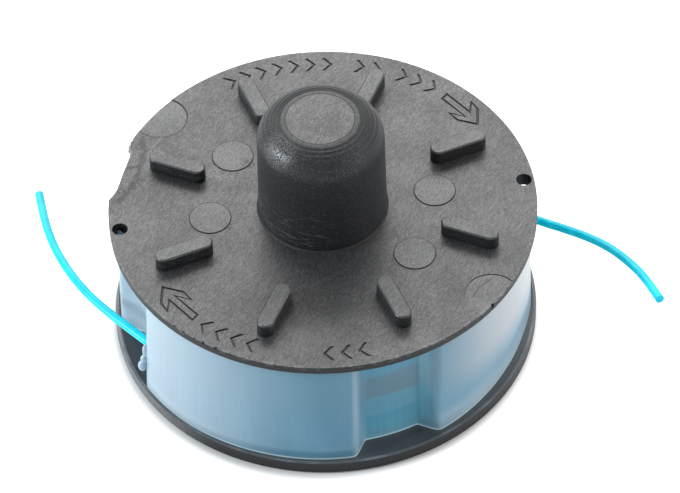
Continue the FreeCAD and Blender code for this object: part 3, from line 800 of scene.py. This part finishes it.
def engraving(look):
    # Two arrows as grooves along their outline, and the chevrons sunk as whole blocks.
    top, depth = look["top"], look["grooveDepth"]
    shells = []
    for turn in (0, 180):
        corners = [polar(radius * mm, azimuth + turn)[:2] for radius, azimuth in arrowCorners]
        shells.append(groove(np.array(corners), look["grooveWidth"], depth, top))
    return shells + [prism(chevronOutline(azimuth), depth, top) for azimuth in chevronRows]


def rimDamage(look):
    # One box for the notch and a stretched sphere for each nick, along the rim's upper edge.
    top = look["top"]
    azimuth, size = rimNotch
    shells = [cutBox(polar(38.5 * mm, azimuth, top - 0.35 * mm), azimuth, size)]
    return shells + [blob(polar(38.15 * mm, azimuth, top + 0.05 * mm),
                          np.array((size, size * 1.6, size)) * mm * 0.8)
                     for azimuth, size in rimNicks]


def holeShadeSleeves(look):
    # A short tube under each line hole, a dark wall standing in for the hole's shade:
    # a four-cornered section turned about the hole's axis.
    inner, outer, low, high = look["shadeSleeve"]
    profile = np.array(((inner, high), (inner, low), (outer, low), (outer, high)))
    points, faces = turned(profile[:, :1], profile[:, 1:], 48)
    radius, azimuths = look["holes"]
    return [(points + polar(radius, azimuth), faces) for azimuth in azimuths]


def burrShells():
    # Each lump is a stretched sphere.
    return [blob(np.array(centre) * mm, np.array(radii) * mm) for centre, radii in burrLumps]


def mergedCopy(node, name):
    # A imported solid's mesh, copied, with its loose triangles joined at their shared corners.
    mesh = nodes[node].data.copy()
    mesh.name = name
    if "custom_normal" in mesh.attributes:
        mesh.attributes.remove(mesh.attributes["custom_normal"])
    working = bmesh.new()
    working.from_mesh(mesh)
    bmesh.ops.remove_doubles(working, verts=working.verts, dist=2e-7)
    working.to_mesh(mesh)
    working.free()
    return mesh


def reelFinish(look):
    finish = Finish(bpy.data.materials.new("blackMoulding"))
    place = finish.place()
    x, y, z = finish.parts(place)
    away = finish.radius(x, y)
    up = finish.parts(finish.facing())[2]
    atRibTop = finish.within(z, *look["ribTops"])
    flat = finish.between(up, 0.90, 0.995).largerOf(finish.between(up, 0.2, 0.7) * atRibTop * 0.5)
    onFlange = finish.within(z, *look["flangeFace"])
    onKnob = finish.between(z, *look["knobTop"])

    # grain of the moulding: fibres that lie one way, a fine speckle and slow clouds
    streaks = finish.noise(finish.stretched(place, (3.6, 1.0, 1.0), 62), 3600.0, 4.0, 0.62)
    speckle = finish.noise(place, look["speckleScale"], 3.0, 0.65)
    cloud = finish.noise(place, 130.0, 5.0, 0.6)
    tone = finish.between(0.38 * streaks + 0.40 * speckle + 0.22 * cloud, 0.41, 0.62)

    # discs left by ejector pins and slides, each inside a thin line, and rings on the knob
    pin = finish.distance(place, pinMarks)
    slide = finish.distance(place, slideMarks)
    disc = largest(finish.below(pin, look["pinDisc"], look["pinDisc"] + 0.15 * mm),
                   finish.below(slide, look["slideDisc"], look["slideDisc"] + 0.15 * mm)) * onFlange
    # painted shade: the slides' real line is darkened only at the left disc, whose wall is shaded
    slideLine = finish.near(slide, look["slideLine"], 0.05 * mm, 0.13 * mm) * (
        finish.below(x, -5.0 * mm, 5.0 * mm))
    line = finish.near(pin, look["pinLine"], 0.05 * mm, 0.13 * mm).largerOf(slideLine) * onFlange
    ring = largest(finish.near(away, 6.07 * mm, 0.05 * mm, 0.12 * mm),
                   finish.near(away, 7.0 * mm, 0.04 * mm, 0.12 * mm) * 0.7) * onKnob
    # painted shade: the knob's shoulder loses the pale colour and sheen of faces that look up
    knobLitShare = 1.0 - onKnob * (0.40 * finish.between(away, 6.0 * mm, 6.3 * mm) +
                               0.60 * finish.between(away, 6.7 * mm, 7.1 * mm))
    # painted light: faces that look up take the pale colour, with the grain, and the walls stay
    # dark
    colour = finish.mix(flat * knobLitShare * (0.08 + 0.92 * tone), look["dark"], look["pale"])
    marked = largest(disc * flat, flat * atRibTop * 0.9) * (0.30 + 0.35 * tone)
    colour = finish.mix(marked, colour, look["mark"])

    # damage and painted shade: dark spots (painted shade beside two discs, rough spots along the
    # break), the torn trough, scuffs, scratches and the line over one disc
    patchy = finish.between(finish.noise(place, 1300.0, 3.0, 0.7), 0.44, 0.58)
    darkSpotDistance = finish.distance(place, [flatPoint(spot) for spot in scarAndShadeSpots])
    scarredAndShaded = finish.below(darkSpotDistance, 0.7 * mm, 1.7 * mm) * patchy * onFlange
    scuffs = finish.distance(place, [flatPoint(spot) for spot in scuffSpots])
    scuffed = finish.below(scuffs, 0.4 * mm, 2.4 * mm) * (
        finish.between(speckle, 0.40, 0.62)) * onFlange
    ragged = finish.lineDistance(place, tornLines) + 2.4 * mm * (
        finish.noise(place, 700.0, 3.0, 0.6) - 0.5)
    torn = finish.below(ragged, 0.1 * mm, 0.9 * mm) * onFlange
    crossed = finish.below(finish.lineDistance(place, discLines), 0.05 * mm, 0.16 * mm) * onFlange
    scratched = finish.below(finish.lineDistance(place, scratches), 0.02 * mm, 0.14 * mm) * onFlange
    # painted shade darkens what lies lower than the flange's face, such as the engraving, but
    # not the discs
    sunk = finish.below(z, 28.36 * mm, 28.46 * mm) * onFlange * (1.0 - disc) * (
        finish.between(x, -30.6 * mm, -30.0 * mm))
    belowLip = finish.between(z, *look["belowLip"])
    # painted shade and painted blue reflection on the base's left floor, darker inside the lip
    leftFloorShade = belowLip * flat * finish.between(x, -24.0 * mm, -32.0 * mm)
    floorEdgeShade = leftFloorShade * finish.between(away, 37.6 * mm, 37.2 * mm)
    # dark marks and painted shade darken the colour and dull the sheen
    darkMarksAndShade = largest(line * 0.9, ring * 0.95, scarredAndShaded * 0.55, sunk * 0.75, crossed * 0.7,
                   torn * 0.50, floorEdgeShade * 0.8)
    colour = finish.mix(darkMarksAndShade, colour, look["dark"])
    colour = finish.mix((scuffed * 0.30).largerOf(scratched * 0.35), colour, look["wornAndHighlight"])

    # the base: a plain dark floor, its blue tint a painted reflection of the band; the lip's top
    # paler in patches; a painted highlight on the side at the front left
    onBase = finish.below(z, 3.0 * mm, 4.0 * mm) * flat
    lip = onBase * finish.between(z, 2.5 * mm, 2.65 * mm) * (
        0.35 + 0.65 * finish.between(cloud, 0.45, 0.62))
    colour = finish.mix(onBase, colour, look["base"])
    colour = finish.mix(leftFloorShade * 0.8, colour, look["floorShadeTint"])
    colour = finish.mix(lip * 0.45, colour, look["wornAndHighlight"])
    # painted highlight: the base's side at the front left is made pale and mottled
    side = belowLip * (1.0 - flat) * finish.between(away, 37.9 * mm, 38.1 * mm) * (
        finish.between(x, -19.0 * mm, -33.0 * mm)) * finish.between(y, -4.0 * mm, -12.0 * mm)
    colour = finish.mix(side * (0.35 + 0.6 * finish.between(speckle, 0.40, 0.60)), colour,
                        look["wornAndHighlight"])

    # bright specks on the dark walls, arcs on the knob and a worn rim; painted light on the knob's
    # low wall, a painted highlight on the rib edges, a painted glint on the burr; base walls paler
    specks = finish.between(speckle, 0.62, 0.72) * finish.between(z, 5.0 * mm, 8.0 * mm)
    lowWall = finish.between(z, 29.0 * mm, 29.6 * mm) * (
        finish.between(z, 41.0 * mm, 33.0 * mm)) * (1.0 - flat)
    drawnOut = finish.noise(finish.stretched(place, (7.0, 7.0, 1.0)), 3400.0, 3.0, 0.6)
    arcs = lowWall * finish.between(drawnOut, 0.55, 0.66) * finish.between(x, 4.0 * mm, -2.0 * mm)
    ribEdgeHighlight = finish.near(up, 0.88, 0.03, 0.07) * (
        finish.between(z, 30.6 * mm, 30.9 * mm)) * (1.0 - onKnob)
    atRim = finish.between(away, 37.3 * mm, 37.9 * mm) * finish.between(z, 27.5 * mm, 28.3 * mm)
    wornRim = atRim * finish.between(finish.noise(place, 900.0, 4.0, 0.7), 0.5, 0.62)
    burr = finish.below(x, -34.15 * mm, -34.05 * mm) * (
        finish.between(y, 13.6 * mm, 13.8 * mm)) * finish.between(z, 27.4 * mm, 27.6 * mm)
    baseSide = finish.between(z, 5.0 * mm, 3.0 * mm) * (1.0 - flat)
    # painted light on the knob's low wall; the base's walls are also made a little paler
    colour = finish.mix(lowWall * 0.10, colour, look["pale"])
    colour = finish.mix(baseSide * 0.25, colour, look["pale"])
    # real wear with a painted highlight on the rib edges and a painted glint on the burr
    wearAndHighlights = largest(specks * 0.20, ribEdgeHighlight * 0.30, wornRim * 0.22, arcs * 0.24, burr * 0.8)
    colour = finish.mix(wearAndHighlights, colour, look["wornAndHighlight"])

    # the sheen is strongest on flat faces, and breaks into glints on the knob's shoulder
    glints = finish.below(finish.vectors("DISTANCE", [place, look["glintPlace"]], 1),
                          2.0 * mm, 5.0 * mm)
    aboveFlange = finish.between(z, 28.9 * mm, 29.4 * mm).largerOf(flat)
    farRim = finish.between(z, 42.0 * mm, 45.0 * mm) * largest(
        finish.between(x, 5.0 * mm, 9.0 * mm), finish.between(y, 0.0, 5.0 * mm))
    sheen = largest(
        flat * knobLitShare * (0.44 + 0.56 * tone),
        aboveFlange * finish.between(speckle, 0.44, 0.66) * (0.5 - 0.45 * farRim),
        glints * finish.between(speckle, 0.45, 0.55)) * (1.0 - 0.85 * darkMarksAndShade)
    roughness = look["roughness"] + 0.14 * tone - 0.05 * disc - 0.24 * glints * (
        finish.between(speckle, 0.48, 0.56))

    # turning marks on the knob's top and faint hoops round its wall
    turning = (away * 8200.0).sine() * onKnob * finish.between(away, 6.3 * mm, 7.0 * mm)
    hoops = finish.noise(finish.stretched(place, (20.0, 20.0, 1.0)), 2200.0, 2.0) * (
        finish.between(z, 46.0 * mm, 30.0 * mm)) * (1.0 - flat)
    height = 0.6 * speckle + 0.4 * streaks + 0.45 * turning + 0.5 * hoops - 1.0 * torn
    return finish.done(finish.plastic(
        Base_Color=colour, Roughness=roughness, IOR=1.5, Specular_IOR_Level=0.20,
        Coat_Weight=sheen, Coat_Roughness=look["sheenRoughness"], Coat_IOR=look["sheenIor"],
        Normal=finish.bump(height, look["grainDepth"], 0.8)))


def addReel(look):
    cutters = engraving(look) + rimDamage(look)
    mesh = cutAway(mergedCopy("reel", "reelForm"), cutters, "moulding")
    joinInto(mesh, meshOf("sleevesAndBurr", holeShadeSleeves(look) + burrShells()))
    smoothFaces(mesh, 32.0)
    mesh.materials.clear()
    mesh.materials.append(reelFinish(look))
    addPiece("moulding", mesh, "reel_plastic", "reel")


addReel(reelLook)
print("reel made")


# Floor, world and lamps

stageLook = {
    "floor": (0.80, 0.80, 0.80),
    "floorSide": 12.0,
    "glow": 0.75,
    # painted shadow: the floor's glow fades within this ring, close round the base, so that the
    # floor's own shade shows only there
    "shadowCentre": (-0.5 * mm, -0.75 * mm, 0.0),
    "shadowRing": (37.4 * mm, 40.0 * mm),
    "worldLight": 0.28,
    "lampTarget": (0.0, 0.0, 0.02),
    # each lamp: name, position, width and height, watts, colour
    "lamps": (
        ("backLamp", (-0.10, 0.90, 0.80), (2.3, 0.55), 18.6, (1.0, 1.0, 1.0)),
        ("leftLamp", (-0.90, -0.18, 0.43), (0.35, 0.35), 9.2, (0.88, 0.95, 1.0)),
        ("rightLamp", (0.90, -0.10, 0.36), (0.9, 0.9), 7.8, (1.0, 1.0, 1.0)),
    ),
}
white = (1.0, 1.0, 1.0, 1.0)


def shownRays(finish):
    # 1 for what the camera, a mirror or a window sees, 0 for light that falls on something
    outputs = finish.node("ShaderNodeLightPath").socket.node.outputs
    return largest(*[Wire(finish, outputs[name]) for name in (
        "Is Camera Ray", "Is Glossy Ray", "Is Transmission Ray")])


def addFloor(look):
    finish = Finish(bpy.data.materials.new("paleFloor"))
    diffuse = finish.node("ShaderNodeBsdfDiffuse", None, {"Color": (*look["floor"], 1.0)})
    # painted shadow: the glow is taken away close round the base
    paintedShadowFade = finish.between(finish.distance(finish.place(), [look["shadowCentre"]]), *look["shadowRing"])
    glow = finish.node("ShaderNodeEmission", None, {
        "Color": white, "Strength": shownRays(finish) * paintedShadowFade * look["glow"]})
    half = look["floorSide"] / 2
    mesh = bpy.data.meshes.new("floor")
    mesh.from_pydata([(-half, -half, 0), (half, -half, 0), (half, half, 0), (-half, half, 0)],
                     [], [(0, 1, 2, 3)])
    mesh.materials.append(finish.done(finish.node("ShaderNodeAddShader", None, [diffuse, glow])))
    floor = bpy.data.objects.new("floor", mesh)
    bpy.context.scene.collection.objects.link(floor)


def lightWorld(look):
    finish = Finish(bpy.data.worlds.new("paleRoom"))
    strength = look["worldLight"] + (1.0 - look["worldLight"]) * shownRays(finish)
    background = finish.node("ShaderNodeBackground", None, {"Color": white, "Strength": strength})
    bpy.context.scene.world = finish.done(background, "ShaderNodeOutputWorld")


def addLamps(look):
    for name, position, size, power, colour in look["lamps"]:
        data = bpy.data.lights.new(name, "AREA")
        data.shape = "RECTANGLE"
        data.size, data.size_y = size
        data.energy = power
        data.color = colour
        lamp = bpy.data.objects.new(name, data)
        lamp.location = position
        toward = Vector(look["lampTarget"]) - Vector(position)
        lamp.rotation_euler = toward.to_track_quat("-Z", "Y").to_euler()
        bpy.context.scene.collection.objects.link(lamp)


addFloor(stageLook)
lightWorld(stageLook)
addLamps(stageLook)
bpy.context.scene.view_settings.view_transform = "Standard"
print("stage lit")
